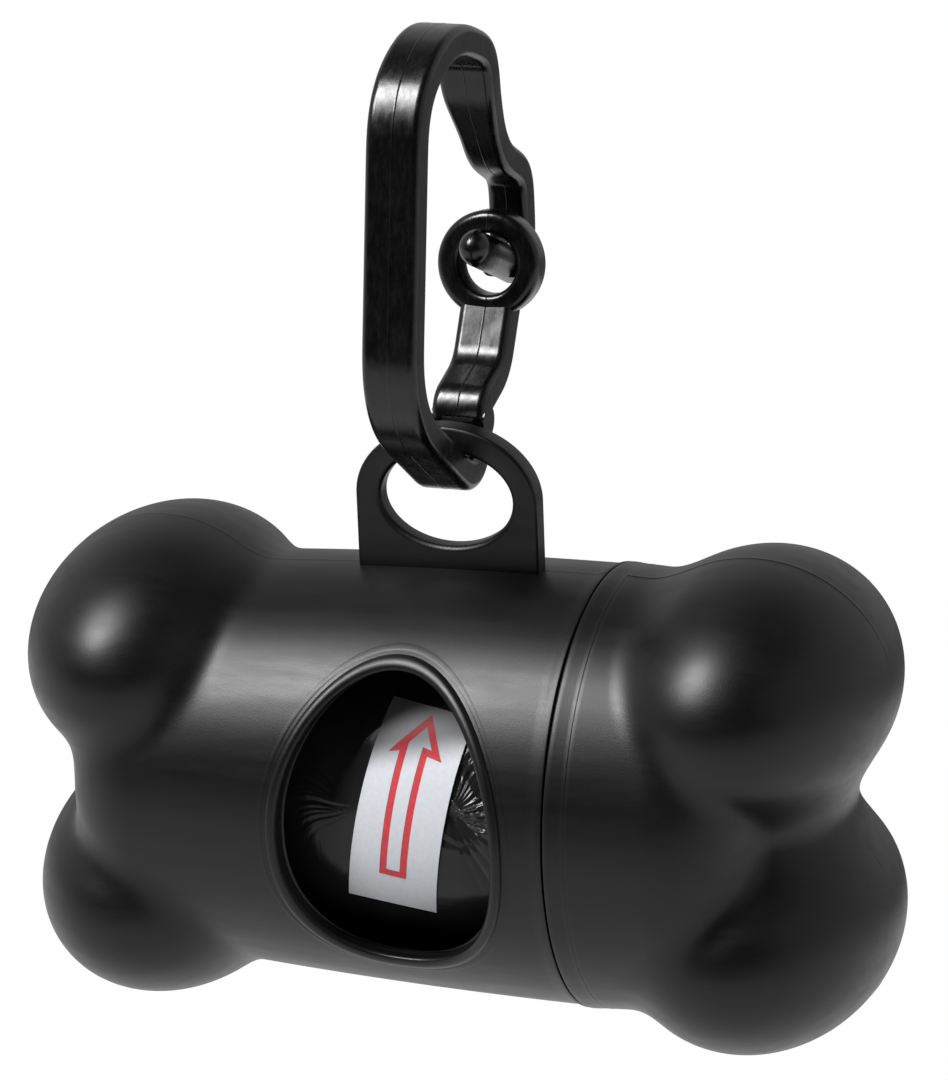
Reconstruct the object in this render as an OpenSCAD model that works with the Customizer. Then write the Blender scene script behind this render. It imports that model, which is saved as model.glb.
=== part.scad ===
/*
  Bone-shaped dispenser for a roll of dog waste bags, hung from a moulded clip.

  Frame: X runs along the bone, +X towards the screw cap.
  Y points away from the window. Z is up.
  The origin is on the inside of the clip's crown, where a ring or belt loop bears.
  The modules draw the bone about its own axis, with the cap seam at x = 0.
  hung() then moves it to that origin.
*/

/* [Bone] */
// Outside radius of the tube at the cap seam
tube_r = 20; // [19.6:0.1:21]
// How much the radius has shrunk 30 mm from the seam, by moulding draft
tube_draft = 0.9; // [0.2:0.1:1.2]
// Wall of the tube
tube_wall = 1.5; // [1.2:0.1:2]
// Seam to the flat closed end of the tube
tube_len = 48; // [47.5:0.5:52]
// Rounding of the tube's ends
tube_end_round = 8; // [6:0.5:10]
// Smoothness of the blend between a lobe and the tube
tube_blend = 2.1; // [1:0.1:3]
// Smoothness of the blend between the two lobes of one end
lobe_blend = 7.6; // [5:0.2:9]
// Seam to the middle of the closed end's lobes
body_lobe_x = 42.5; // [40:0.5:46]
// Half length of a lobe of the closed end along X
body_lobe_rx = 12; // [11:0.1:13]
// Half depth of a lobe of the closed end along Y
body_lobe_ry = 18.9; // [17:0.1:20]
// Half height of a lobe of the closed end along Z
body_lobe_rz = 11.4; // [10.5:0.1:12.5]
// Height of the closed end's lobe centres from the axis
body_lobe_z = 11.1; // [10:0.1:12]

/* [Eyelet] */
// Seam to the middle of the eyelet
eye_x = 14.7; // [13:0.1:18]
// Width of the eyelet plate
eye_w = 17.2; // [16.6:0.1:20]
// Thickness of the eyelet plate
eye_t = 2.2; // [1.8:0.1:2.6]
// Height of the hole's centre above the tube
eye_rise = 6.3; // [6:0.1:7.5]
// Material left round the hole at its sides and top
eye_wall = 2.35; // [2:0.05:3.5]
// Half height of the oval hole
eye_hole_h = 4.45; // [4.3:0.05:5]
// Bevel of the hole's edges
eye_bevel = 0.55; // [0.3:0.05:0.8]

/* [Window] */
// Seam to the middle of the window
win_x = 15; // [14:0.1:17]
// Half width of the window
win_w = 10.2; // [8:0.1:10.6]
// Top of the window above the axis
win_top = 14.4; // [11:0.1:14.8]
// Bottom of the window below the axis
win_bottom = 12.2; // [9:0.1:13.5]
// Squareness of the window's lower half, where 2 is an oval
win_square = 2.3; // [2:0.1:3]
// Width of the raised lip round the window
lip_w = 1.2; // [0.8:0.05:1.8]
// Height of the lip above the tube
lip_h = 0.45; // [0.2:0.05:0.8]

/* [Neck and thread] */
// Thickness of the step that carries the neck inside the tube
neck_step = 1.5; // [1.2:0.1:2.5]
// Wall of the neck under the thread
neck_wall = 1.6; // [1.2:0.1:2]
// Length of the neck past the seam
neck_len = 9; // [8.6:0.2:11]
// Height of the thread on the neck
thread_h = 0.95; // [0.7:0.05:1.2]
// Advance of the thread in one turn
thread_pitch = 4; // [3.6:0.1:4.4]
// Number of turns
thread_turns = 1.25; // [1:0.25:1.25]
// Axial width of the thread's crest
thread_crest = 0.7; // [0.5:0.05:0.9]
// Axial width of the thread's root
thread_root = 1.5; // [1.2:0.05:1.8]
// Radial clearance between the neck and the cap
thread_gap = 0.2; // [0.1:0.05:0.3]

/* [Cap] */
// How far the cap's skirt stands out beyond the tube
cap_step = 0.2; // [0:0.05:0.6]
// Wall of the cap's skirt over the neck
skirt_wall = 1.25; // [1.1:0.05:1.6]
// How much the skirt's radius shrinks per mm from the seam
cap_draft = 0.05; // [0.02:0.01:0.08]
// Seam to the flat end between the lobes
cap_len = 16.6; // [16:0.2:19]
// Seam to the middle of the cap's lobes
cap_lobe_x = 14; // [13:0.1:16]
// Half length of a lobe of the cap along X
cap_lobe_rx = 12.4; // [11.5:0.1:13]
// Half depth of a lobe of the cap along Y
cap_lobe_ry = 18.6; // [17:0.1:20]
// Half height of a lobe of the cap along Z
cap_lobe_rz = 11.8; // [11:0.1:12.5]
// Height of the cap's lobe centres from the axis
cap_lobe_z = 10.9; // [10:0.1:12]
// Open gap at the seam
seam_gap = 0.25; // [0.15:0.05:0.5]
// Width of the grip band at the cap's rim
rim_w = 1.8; // [1:0.1:3]
// Height of the grip band
rim_h = 0.05; // [0.05:0.05:0.4]
// Thickness of that band
rim_t = 0.6; // [0.5:0.05:0.8]
// Clearance between that band and the rest of the cap
rim_gap = 0.05; // [0.03:0.01:0.08]

/* [Roll of bags] */
// Room round the roll in the neck, when the roll is in the middle
roll_room = 1.2; // [0.8:0.1:2]
// Free length that the roll has between the closed end and the cap
roll_slack = 1; // [0.8:0.1:4]
// Outside radius of the cardboard core
core_r = 7; // [6:0.1:8]
// Wall of the core
core_wall = 0.8; // [0.5:0.1:1.2]
// How far the core stands out of the film at each end
core_proud = 0.4; // [0.2:0.1:0.6]
// Gap between the roll and the bore that it lies in
roll_rest = 0.3; // [0.2:0.05:0.5]
// Width of the paper label
label_w = 8.2; // [6:0.1:10]
// Length of the paper label round the roll
label_len = 20.3; // [14:0.1:24]
// Thickness of the paper label
label_t = 0.15; // [0.1:0.05:0.25]
// Lean of the label
label_lean = 12; // [0:1:25]
// Angle of the label's centre above the front of the roll
label_up = 8; // [-10:1:15]
// Seam to the label's centre
label_x = 14.9; // [13:0.1:19]

/* [Clip] */
// Width of the clip's band
band_w = 5.1; // [4.4:0.1:5.4]
// Thickness of the clip's band
band_t = 2.9; // [2.4:0.1:3.1]
// Rounding of the band's edges
band_round = 0.7; // [0.4:0.1:1]
// Width of the band at the nose
nose_w = 3.8; // [3.3:0.1:4.2]
// Gap between the eyelet's hole and the clip's bar
eye_gap = 0.5; // [0.4:0.05:0.8]
// Radius of the clip's lowest bend, at mid thickness
bar_bend = 3.1; // [3:0.1:3.8]
// How far the gate's pivot stands outside the lowest bend
pivot_out = 1; // [0.5:0.1:1.2]
// Height from the clip's bar to its crown, at mid thickness
clip_h = 39.2; // [38.5:0.1:42]
// Bar to the spine's foot along Y
foot_y = 13.4; // [12.5:0.1:15]
// Slope of the band between the bar and the spine's foot
foot_slope = 36; // [33:1:39]
// Bar to the spine's head along Y
head_y = 8.6; // [8:0.1:10.5]
// Bar to the nose's shoulder along Y
shoulder_y = 9.3; // [8.6:0.1:9.8]
// Bar to the nose along Y
nose_y = 19.3; // [18.5:0.1:20.5]
// Crown's peak down to the corner at the spine's head
head_drop = 2.8; // [2:0.1:3.5]
// Crown's peak down to the corner at the shoulder
shoulder_drop = 2.9; // [2.4:0.1:3.4]
// Shoulder's corner down to where the nose's slope begins
arm_len = 3.3; // [2.8:0.1:4]
// Crown's peak down to the foot of the nose's slope
slope_drop = 13.7; // [13:0.1:14.4]
// Foot of the nose's slope out to the nose along Y
slope_in = 5.6; // [5:0.1:6.2]
// Crown's peak down to the nose's corner
nose_drop = 16.6; // [15.8:0.1:17.4]
// Height of the gate's ring above the bar
ring_h = 15.5; // [15.2:0.1:16.5]
// Bar to the gate's ring along Y
ring_y = 13.3; // [12.8:0.1:13.8]
// Radius of the gate's ring
ring_r = 4.9; // [4.5:0.1:5]
// Radius of the ring's hole
ring_hole_r = 2.8; // [2.6:0.05:3]
// Thickness of the ring
ring_t = 3.1; // [2.6:0.1:3.2]
// Bevel of the ring's edges
ring_bevel = 0.6; // [0.5:0.05:0.8]
// Lean of the ring from upright
ring_lean = 10; // [6:1:12]
// Radius of the prong that the ring snaps over
prong_r = 1.55; // [1.4:0.05:1.6]
// Slope of the prong
prong_rise = 24; // [20:1:28]
// Reach of the prong in front of the ring's middle, to its round tip
prong_reach = 4.6; // [4:0.1:5]
// Thickness of each cheek of the gate, beside the frame's tongue
cheek_w = 1; // [0.9:0.05:1.2]
// Radius of the pegs on the tongue's sides
peg_r = 0.75; // [0.6:0.05:0.8]
// Length of each peg, in a blind hole of its cheek
peg_len = 0.65; // [0.5:0.05:0.7]
// Clearance round the pegs and beside the tongue
knuckle_gap = 0.06; // [0.04:0.01:0.1]
// Clearance round the outside of the tongue and of the cheeks
knuckle_relief = 0.2; // [0.15:0.05:0.3]

/* [Hidden] */

// Facets round the bone and rows over an end
around = 64;
end_rows = 20;
shaft_rows = 7;
// Facets of true round surfaces, and of the drawn ovals
$fn = 72;
oval_n = 48;
body_lobe = [body_lobe_rx, body_lobe_ry, body_lobe_rz];
cap_lobe = [cap_lobe_rx, cap_lobe_ry, cap_lobe_rz];
// How far cuts run past what they cut
over = 1;
// Degrees of bend between two points of a band's path
bend_step = 12;

// Heights above the bone's axis
eye_z = tube_r + eye_rise;
bar_z = eye_z + eye_hole_h - eye_gap - band_t / 2;
crown_z = bar_z + clip_h;
crown_in_z = crown_z - band_t / 2;

// Where the fans of rays over the bone's ends start
body_fan_x = -36;
cap_fan_x = 9;

// The cap follows the tube, the neck fits the cap and the roll fits the neck
cap_r = tube_r + cap_step;
cap_bore_r = cap_r - skirt_wall;
neck_r = cap_bore_r - thread_gap - thread_h;
neck_bore_r = neck_r - neck_wall;
roll_r = neck_bore_r - roll_room;
// How far the cone behind that step runs back along the tube's wall
step_cone = 1.5;
// Gap between the neck's end and the bottom of the cap's bore
neck_end_gap = 0.6;
// How deep a thread's ridge is rooted in its wall
thread_sink = 0.3;
// Steepness of the thread's run-out at its ends
thread_run_out = 8;
// How high the thread's ridge already is where it starts
thread_start = 0.05;
// Axial clearance between the flanks of the two threads
flank_gap = 0.1;
// Where the neck's thread begins, and how far the cap's thread lags behind it
thread_x = 2.4;
thread_lag = (thread_root + thread_crest) / 2 + flank_gap;
// Bore of the cap past the neck's end, and the rounding of its bottom
cap_end_wider = 0.8;
cap_end_bore_r = neck_bore_r + cap_end_wider;
cap_end_round = 3.5;
cavity_end = tube_len - tube_wall;
roll_drop = roll_room - roll_rest;

// Where the cavity reaches the tube's full bore
cavity_from = -neck_step - step_cone;

// The closed end's cavity is rounded, and the roll's rim seats in that curve
cavity_round = tube_end_round - tube_wall;
cavity_round_x = cavity_round - cavity_end;
cavity_corner_r = tube_radius(cavity_round_x) - tube_wall - cavity_round;
rim_seat = roll_r + roll_drop + roll_rest - cavity_corner_r;
roll_start = cavity_round_x - sqrt(cavity_round ^ 2 - rim_seat ^ 2);

// At the other end the rim would seat in the rounded bottom of the cap's bore
cap_end_x = cap_len - tube_wall - cap_end_round;
cap_end_seat = roll_r + roll_drop + roll_rest - (cap_end_bore_r - cap_end_round);
roll_end = cap_end_x + sqrt(cap_end_round ^ 2 - cap_end_seat ^ 2) - roll_slack;

// The eyelet's hole, and the middle of its top curve, where the bone swings
eye_hole_w = eye_w / 2 - eye_wall;
swing_z = eye_z + eye_hole_h - eye_hole_w ^ 2 / eye_hole_h;

// Heights and roundings of the clip's frame
foot_h = bar_bend * (1 - cos(foot_slope)) + (foot_y - bar_bend * sin(foot_slope)) * tan(foot_slope);
bar_corner_z = bar_z + bar_bend - bar_bend / tan((90 - foot_slope) / 2);
foot_round = 8.5;
head_round = 4.5;
crown_y = 0.2;
crown_peak = 0.8;
crown_round = 11;
shoulder_round = 3;
arm_round = 4.4;
slope_round = 5;
nose_round = 2.6;
elbow_round = 2;
elbow_run = 3.2;
taper_from = 34;
taper_to = 27;
// The prong passes just above the middle of the ring
prong_over = 0.7;
prong_z = bar_z + ring_h + prong_over;
prong_sunk = 0.5;
prong_back = (nose_y - ring_y) / cos(prong_rise) - prong_sunk;
elbow_z = prong_z - (nose_y - ring_y) * tan(prong_rise);

// The gate's pivot
pivot_up = 0.3;
pivot = [bar_bend + pivot_out, bar_z + bar_bend + pivot_up];
// Width of the tongue between the gate's cheeks, and of the pegs' tips
tongue_w = band_w - 2 * cheek_w - 2 * knuckle_gap;
peg_span = tongue_w + 2 * peg_len;

// ---- Smooth bone form: signed distances ----

function clamp01(v) = min(1, max(0, v));
function smooth_min(a, b, k) = let (h = clamp01(0.5 + 0.5 * (b - a) / k))
  b * (1 - h) + a * h - k * h * (1 - h);

// Approximate distance from point p to an ellipsoid with half sizes s centred at c
function egg(p, c, s) = let (
    q = p - c,
    k0 = norm([q.x / s.x, q.y / s.y, q.z / s.z]),
    k1 = norm([q.x / s.x ^ 2, q.y / s.y ^ 2, q.z / s.z ^ 2]) + 1e-9
  ) k0 * (k0 - 1) / k1;

// Radius of the drafted tube at x
function tube_radius(x) = x < 0 ? tube_r - tube_draft * (x / 30) ^ 2 : cap_r - cap_draft * x;

// Distance to the round-ended tube from x = -from to x = to
function tube_dist(p, from, to) = let (
    dx = abs(p.x - (to - from) / 2) - ((to + from) / 2 - tube_end_round),
    dr = norm([p.y, p.z]) - (tube_radius(p.x) - tube_end_round)
  ) min(max(dx, dr), 0) + norm([max(dx, 0), max(dr, 0)]) - tube_end_round;

function lobes_dist(p, x, z, s) = smooth_min(egg(p, [x, 0, z], s), egg(p, [x, 0, -z], s), lobe_blend);

function bone_dist(p) = smooth_min(
    tube_dist(p, tube_len, cap_len),
    p.x < 0
      ? lobes_dist(p, -body_lobe_x, body_lobe_z, body_lobe)
      : lobes_dist(p, cap_lobe_x, cap_lobe_z, cap_lobe),
    tube_blend);

// How far the bone's skin is from c along direction d, by halving the interval
function reach(c, d, lo = 6, hi = 42, n = 15) = let (m = (lo + hi) / 2)
  n == 0 ? m : bone_dist(c + m * d) < 0 ? reach(c, d, m, hi, n - 1) : reach(c, d, lo, m, n - 1);

function skin_point(c, d) = c + reach(c, d) * d;

// One ring of the skin: rays from c, leaning by tilt from square to X towards side (-1 or 1)
function skin_ring(c, tilt, side) = [for (i = [0 : around - 1]) let (a = 360 * i / around)
  skin_point(c, [side * sin(tilt), -cos(tilt) * cos(a), cos(tilt) * sin(a)])];

// Solid from stacked rings of equal count, closed flat at the first ring
// and closed at the last one flat or with a tip
module stack(rings, tip = undef, flip = false) {
  n = len(rings[0]);
  rows = len(rings);
  ring_pts = [for (r = rings) each r];
  pts = is_undef(tip) ? ring_pts : concat(ring_pts, [tip]);
  last = (rows - 1) * n;
  sides = [for (r = [0 : rows - 2], i = [0 : n - 1]) let (
      a = r * n + i, b = r * n + (i + 1) % n, c = a + n, d = b + n)
    each [[a, b, d], [a, d, c]]];
  start = [[for (i = [n - 1 : -1 : 0]) i]];
  end = is_undef(tip)
    ? [[for (i = [0 : n - 1]) last + i]]
    : [for (i = [0 : n - 1]) [last + i, last + (i + 1) % n, rows * n]];
  faces = concat(start, sides, end);
  turned = [for (f = faces) [for (i = [len(f) - 1 : -1 : 0]) f[i]]];
  polyhedron(pts, flip ? turned : faces, convexity = 6);
}

// Half of the bone's skin, from x = start through the fan centre and over the end
module half_bone(start, fan_x, side) {
  rings = [
    for (i = [0 : shaft_rows - 1]) skin_ring([start + (fan_x - start) * i / shaft_rows, 0, 0], 0, side),
    for (i = [0 : end_rows - 1]) skin_ring([fan_x, 0, 0], 90 * i / end_rows, side)
  ];
  stack(rings, skin_point([fan_x, 0, 0], [side, 0, 0]), side < 0);
}

// ---- Helpers ----

// Turns a shape drawn about Z so that its axis is X
module along_x() {
  rotate([0, 90, 0]) children();
}

// Round bar along X between two stations
module rod(x0, x1, r) {
  translate([x0, 0, 0]) along_x() cylinder(h = x1 - x0, r = r);
}

// Oval outline in the XZ plane at depth y
function oval(w, h, y, z) = [for (i = [0 : oval_n - 1]) let (a = 360 * i / oval_n)
  [w * cos(a), y, z + h * sin(a)]];

// Extrudes a plan drawn in X and Z between two depths
module through_y(y0, y1) {
  translate([0, y1, 0]) rotate([90, 0, 0]) linear_extrude(y1 - y0) children();
}

// Outline of the window in X and Z, grown evenly by grow
// The tube's curve makes its upper half look pointed
function round_power(v) = sign(v) * abs(v) ^ (2 / win_square);
function window_plan(grow = 0) = [for (i = [0 : oval_n - 1]) let (a = 360 * i / oval_n)
  sin(a) > 0
    ? [-win_x + (win_w + grow) * cos(a), (win_top + grow) * sin(a)]
    : [-win_x + (win_w + grow) * round_power(cos(a)), (win_bottom + grow) * round_power(sin(a))]];

// Ridge of a right-hand thread that climbs along X from x0, with its root at radius r
// and its crest out by h, or in by -h
module thread_ridge(r, h, x0) {
  steps = round(32 * thread_turns);
  root = r - thread_sink * sign(h);
  rings = [for (i = [0 : steps]) let (
      t = i / steps,
      a = 360 * thread_turns * t,
      x = x0 + thread_pitch * thread_turns * t,
      crest = r + h * min(1, thread_run_out * min(t, 1 - t) + thread_start),
      flank = [
        [root, -thread_root / 2],
        [root, thread_root / 2],
        [crest, thread_crest / 2],
        [crest, -thread_crest / 2]
      ]
    ) [for (q = flank) [x + q[1], q[0] * cos(a), q[0] * sin(a)]]];
  stack(rings, flip = h > 0);
}

// ---- Planar bands of the clip ----

function unit(v) = v / norm(v);

// Points of the bend of radius r at corner q, coming from p and going to s
function bend(p, q, s, r) = let (
    u = unit(p - q),
    v = unit(s - q),
    half = acos(u * v) / 2,
    c = q + unit(u + v) * r / sin(half),
    from = q + u * r / tan(half) - c,
    to = q + v * r / tan(half) - c,
    turn = 180 - 2 * half,
    way = sign(cross(from, to)),
    n = max(2, ceil(turn / bend_step))
  ) [for (i = [0 : n]) let (a = way * turn * i / n)
    c + [from.x * cos(a) - from.y * sin(a), from.x * sin(a) + from.y * cos(a)]];

// Path through corners [y, z, r], with a bend of radius r at each inner one
function path(k) = let (n = len(k), p = [for (q = k) [q.x, q.y]])
  concat([p[0]], [for (i = [1 : n - 2]) each bend(p[i - 1], p[i], p[i + 1], k[i].z)], [p[n - 1]]);

// Left-hand normal of a path at point i
function side_way(p, i) = let (
    n = len(p),
    d = unit(p[min(i + 1, n - 1)] - p[max(i - 1, 0)])
  ) [-d.y, d.x];

// Section of the band: a rectangle w by t with its corners rounded
function band_section(w, t, r) = [for (k = [0 : 3], j = [0 : 2]) let (
    sx = k == 0 || k == 3 ? 1 : -1,
    sy = k < 2 ? 1 : -1,
    a = 90 * k + 45 * j
  ) [sx * (w / 2 - r) + r * cos(a), sy * (t / 2 - r) + r * sin(a)]];

// Band along path p in the YZ plane, w[i] wide along X at point i
module band(p, w) {
  stack([for (i = [0 : len(p) - 1]) let (n = side_way(p, i))
    [for (q = band_section(w[i], band_t, band_round))
      [q.x, p[i].x + n.x * q.y, p[i].y + n.y * q.y]]]);
}

// Bone coordinates of the middle of the clip
module at_clip() {
  translate([-eye_x, 0, 0]) children();
}

// Hangs what is drawn about the bone's axis so that the clip's crown is at the origin
module hung() {
  translate([eye_x, 0, -crown_in_z]) children();
}

// ---- Body ----

// The tube's wall is even, so the cavity follows the draft and the round end
module body_cavity() {
  along_x() rotate_extrude() polygon(concat(
    [[0, neck_len + over], [neck_bore_r, neck_len + over], [neck_bore_r, -neck_step]],
    [for (i = [0 : 6]) let (x = cavity_from + (cavity_round_x - cavity_from) * i / 6)
      [tube_radius(x) - tube_wall, x]],
    [for (a = [10 : 10 : 90])
      [cavity_corner_r + cavity_round * cos(a), cavity_round_x - cavity_round * sin(a)]],
    [[0, -cavity_end]]
  ));
}

// Raised lip round the window, following the tube
module window_lip() {
  intersection() {
    through_y(-tube_r - lip_h - over, -neck_bore_r / 2) polygon(window_plan(lip_w));
    along_x() rotate_extrude() polygon(concat(
      [[0, 0]],
      [for (i = [0 : 6]) let (x = -5 * i) [tube_radius(x) + lip_h, x]],
      [[0, -30]]
    ));
  }
}

// Plate with a round top, rooted in the tube's wall
module eyelet_plate() {
  top = eye_hole_h + eye_wall;
  translate([-eye_x, 0, 0]) through_y(-eye_t / 2, eye_t / 2) polygon(concat(
    [for (i = [0 : oval_n / 2]) let (a = 180 * i / (oval_n / 2)) [eye_w / 2 * cos(a), eye_z + top * sin(a)]],
    [[-eye_w / 2, tube_r - 3], [eye_w / 2, tube_r - 3]]
  ));
}

// Oval hole with its edges bevelled on both faces
module eyelet_hole() {
  face = eye_t / 2;
  cut = over / 2;
  steps = [
    [-face - cut, eye_bevel + cut],
    [eye_bevel - face, 0],
    [face - eye_bevel, 0],
    [face + cut, eye_bevel + cut]
  ];
  translate([-eye_x, 0, 0]) stack([for (s = steps) oval(eye_hole_w + s[1], eye_hole_h + s[1], s[0], eye_z)]);
}

module body_shell() {
  color([0.13, 0.13, 0.14]) hung() difference() {
    union() {
      half_bone(0, body_fan_x, -1);
      window_lip();
      eyelet_plate();
      rod(-over, neck_len, neck_r);
      thread_ridge(neck_r, thread_h, thread_x);
    }
    body_cavity();
    through_y(-tube_r - lip_h - 2 * over, -neck_bore_r / 2) polygon(window_plan());
    eyelet_hole();
  }
}

// ---- Cap ----

module cap_cavity() {
  r = cap_end_bore_r;
  e = cap_end_round;
  rod(-over, neck_len + neck_end_gap, cap_bore_r);
  along_x() rotate_extrude() polygon(concat(
    [[0, 0], [r, 0]],
    [for (a = [0 : 15 : 90]) [r - e + e * cos(a), cap_len - tube_wall - e + e * sin(a)]],
    [[0, cap_len - tube_wall]]
  ));
}

module end_cap() {
  color([0.13, 0.13, 0.14]) hung() {
    difference() {
      half_bone(seam_gap, cap_fan_x, 1);
      cap_cavity();
      difference() {
        rod(-over, seam_gap + rim_w + rim_gap, cap_r + over);
        rod(-2 * over, cap_len, cap_r + rim_h - rim_t - rim_gap);
      }
    }
    intersection() {
      thread_ridge(cap_bore_r, -thread_h, thread_x - thread_lag);
      rod(seam_gap, neck_len, cap_bore_r + thread_sink);
    }
  }
}

// Band round the cap's mouth
module cap_rim() {
  color([0.13, 0.13, 0.14]) hung() difference() {
    rod(seam_gap, seam_gap + rim_w, cap_r + rim_h);
    rod(0, seam_gap + rim_w + over, cap_r + rim_h - rim_t);
  }
}

// ---- Clip ----

function frame_path() = path([
  [pivot.x, pivot.y + 0.1, 0],
  [bar_bend, bar_corner_z, bar_bend],
  [-foot_y, bar_z + foot_h, foot_round],
  [-head_y, crown_z - head_drop, head_round],
  [crown_y, crown_z + crown_peak, crown_round],
  [shoulder_y, crown_z - shoulder_drop, shoulder_round],
  [shoulder_y, crown_z - shoulder_drop - arm_len, arm_round],
  [nose_y - slope_in, crown_z - slope_drop, slope_round],
  [nose_y, crown_z - nose_drop, nose_round],
  [nose_y, elbow_z, elbow_round],
  [nose_y - elbow_run * cos(prong_rise), elbow_z + elbow_run * sin(prong_rise), 0]
]);

// The band narrows from the crown's back down to the nose
function frame_width(p) = p.x < 3 ? band_w : lookup(p.y - bar_z, [[taper_to, nose_w], [taper_from, band_w]]);

// Round bar along X about the gate's pivot
module at_pivot(w, r) {
  translate([0, pivot.x, pivot.y]) rotate([0, 90, 0]) cylinder(h = w, r = r, center = true);
}

// The frame ends in a round tongue with a peg on each side
module clip_frame() {
  p = frame_path();
  color([0.04, 0.04, 0.045]) hung() at_clip() {
    difference() {
      union() {
        band(p, [for (q = p) frame_width(q)]);
        at_pivot(band_w, band_t / 2);
        prong();
      }
      for (side = [-1, 1]) translate([side * (tongue_w + band_w) / 2, 0, 0])
        at_pivot(band_w, band_t / 2 + knuckle_relief);
    }
    at_pivot(peg_span, peg_r);
  }
}

// Round bar from the elbow through the ring, with a ball end
module prong() {
  translate([0, ring_y, prong_z]) rotate([-prong_rise, 0, 0]) {
    rotate([-90, 0, 0]) translate([0, 0, -prong_reach]) cylinder(h = prong_reach + prong_back, r = prong_r);
    translate([0, -prong_reach, 0]) sphere(r = prong_r);
  }
}

// The gate is an arm with the ring at its top, and its root is forked over the frame's tongue
module clip_gate() {
  foot = [ring_y - ring_r * sin(ring_lean), bar_z + ring_h - ring_r * cos(ring_lean)];
  p = path([
    [pivot.x, pivot.y + 0.2, 0],
    [pivot.x, pivot.y + 1.7, 1.5],
    [foot.x - 1.5, foot.y - 2.8, 5],
    [foot.x + 0.6 * sin(ring_lean), foot.y + 0.6 * cos(ring_lean), 0]
  ]);
  color([0.04, 0.04, 0.045]) hung() at_clip() difference() {
    union() {
      band(p, [for (q = p) band_w]);
      at_pivot(band_w, band_t / 2);
      at_ring() ring_disc();
    }
    at_ring() ring_hole();
    at_pivot(tongue_w + 2 * knuckle_gap, band_t / 2 + knuckle_relief);
    at_pivot(peg_span + 2 * knuckle_gap, peg_r + knuckle_gap);
  }
}

// Places what is drawn round the Z axis at the leaning ring
module at_ring() {
  translate([0, ring_y, bar_z + ring_h]) rotate([90 - ring_lean, 0, 0]) children();
}

// Ring with bevelled outer edges, still closed
module ring_disc() {
  t = ring_t / 2;
  r = ring_r;
  b = ring_bevel;
  rotate_extrude() polygon([[0, -t], [r - b, -t], [r, b - t], [r, t - b], [r - b, t], [0, t]]);
}

// Hole of the ring, bevelled at both faces
module ring_hole() {
  t = ring_t / 2;
  r = ring_hole_r;
  b = ring_bevel;
  rotate_extrude() polygon([
    [0, -t - over], [r + b + over, -t - over], [r + b + over, -t], [r + b, -t],
    [r, b - t], [r, t - b],
    [r + b, t], [r + b + over, t], [r + b + over, t + over], [0, t + over]
  ]);
}

// ---- Roll of bags ----

module at_roll() {
  hung() translate([0, 0, -roll_drop]) children();
}

module bag_roll() {
  color([0.07, 0.07, 0.08]) at_roll() difference() {
    rod(roll_start, roll_end, roll_r);
    rod(roll_start - over, roll_end + over, core_r);
  }
}

module roll_core() {
  from = roll_start - core_proud;
  to = roll_end + core_proud;
  color([0.72, 0.6, 0.44]) at_roll() difference() {
    rod(from, to, core_r);
    rod(from - over, to + over, core_r - core_wall);
  }
}

// Paper strip wrapped on the roll, leaning as it goes round
module roll_label() {
  rows = 24;
  across = 4;
  // Point of the strip at length u, width v and radius r
  function paper(u, v, r) = let (
      x = -label_x + u * sin(label_lean) + v * cos(label_lean),
      a = label_up + (u * cos(label_lean) - v * sin(label_lean)) / roll_r * 180 / PI
    ) [x, -r * cos(a), r * sin(a)];
  rings = [for (i = [0 : rows]) let (u = label_len * (i / rows - 0.5)) concat(
    [for (j = [0 : across]) paper(u, label_w * (j / across - 0.5), roll_r)],
    [for (j = [across : -1 : 0]) paper(u, label_w * (j / across - 0.5), roll_r + label_t)]
  )];
  color([0.95, 0.95, 0.93]) at_roll() stack(rings);
}

body_shell();
end_cap();
cap_rim();
clip_frame();
clip_gate();
bag_roll();
roll_core();
roll_label();
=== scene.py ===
"""Looks of the bone-shaped bag dispenser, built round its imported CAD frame.

Shapes are worked out in millimetres about the bone's own axis, with the cap's seam at x = 0,
and add() moves them to the row frame, whose origin is inside the clip's crown.
"""

import math

import bmesh
import bpy
import numpy as np
from mathutils import Matrix, Vector


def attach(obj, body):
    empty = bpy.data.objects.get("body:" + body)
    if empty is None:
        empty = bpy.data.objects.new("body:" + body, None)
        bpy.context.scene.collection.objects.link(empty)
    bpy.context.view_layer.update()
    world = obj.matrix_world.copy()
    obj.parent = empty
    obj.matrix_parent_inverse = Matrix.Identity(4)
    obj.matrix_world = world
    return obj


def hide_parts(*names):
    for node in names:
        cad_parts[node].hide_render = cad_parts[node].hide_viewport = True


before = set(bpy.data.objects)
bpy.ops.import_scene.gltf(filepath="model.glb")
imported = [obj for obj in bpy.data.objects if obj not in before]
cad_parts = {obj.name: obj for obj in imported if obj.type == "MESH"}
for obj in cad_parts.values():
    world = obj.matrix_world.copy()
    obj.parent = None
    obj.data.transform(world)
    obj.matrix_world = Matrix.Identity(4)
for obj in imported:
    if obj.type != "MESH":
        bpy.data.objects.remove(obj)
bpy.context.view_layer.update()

MM = 0.001
TAU = 2 * math.pi
QUARTER = math.pi / 2
EYE_X = 14.7  # from the eyelet's middle to the cap's seam
CROWN_IN = 66.55  # inside of the clip's crown above the bone's axis
BONE = np.array([EYE_X, 0.0, -CROWN_IN])  # bone frame to row frame
CLIP = np.array([0.0, 0.0, -CROWN_IN])  # same, for shapes drawn about the clip's middle plane

# ---------------------------------------------------------------- mesh helpers

SHARP = 35.0  # degrees between faces from which an edge is shaded as sharp
FLAT_WEIGHT = 80  # how much more large faces count in the shading of the edges beside them


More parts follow.
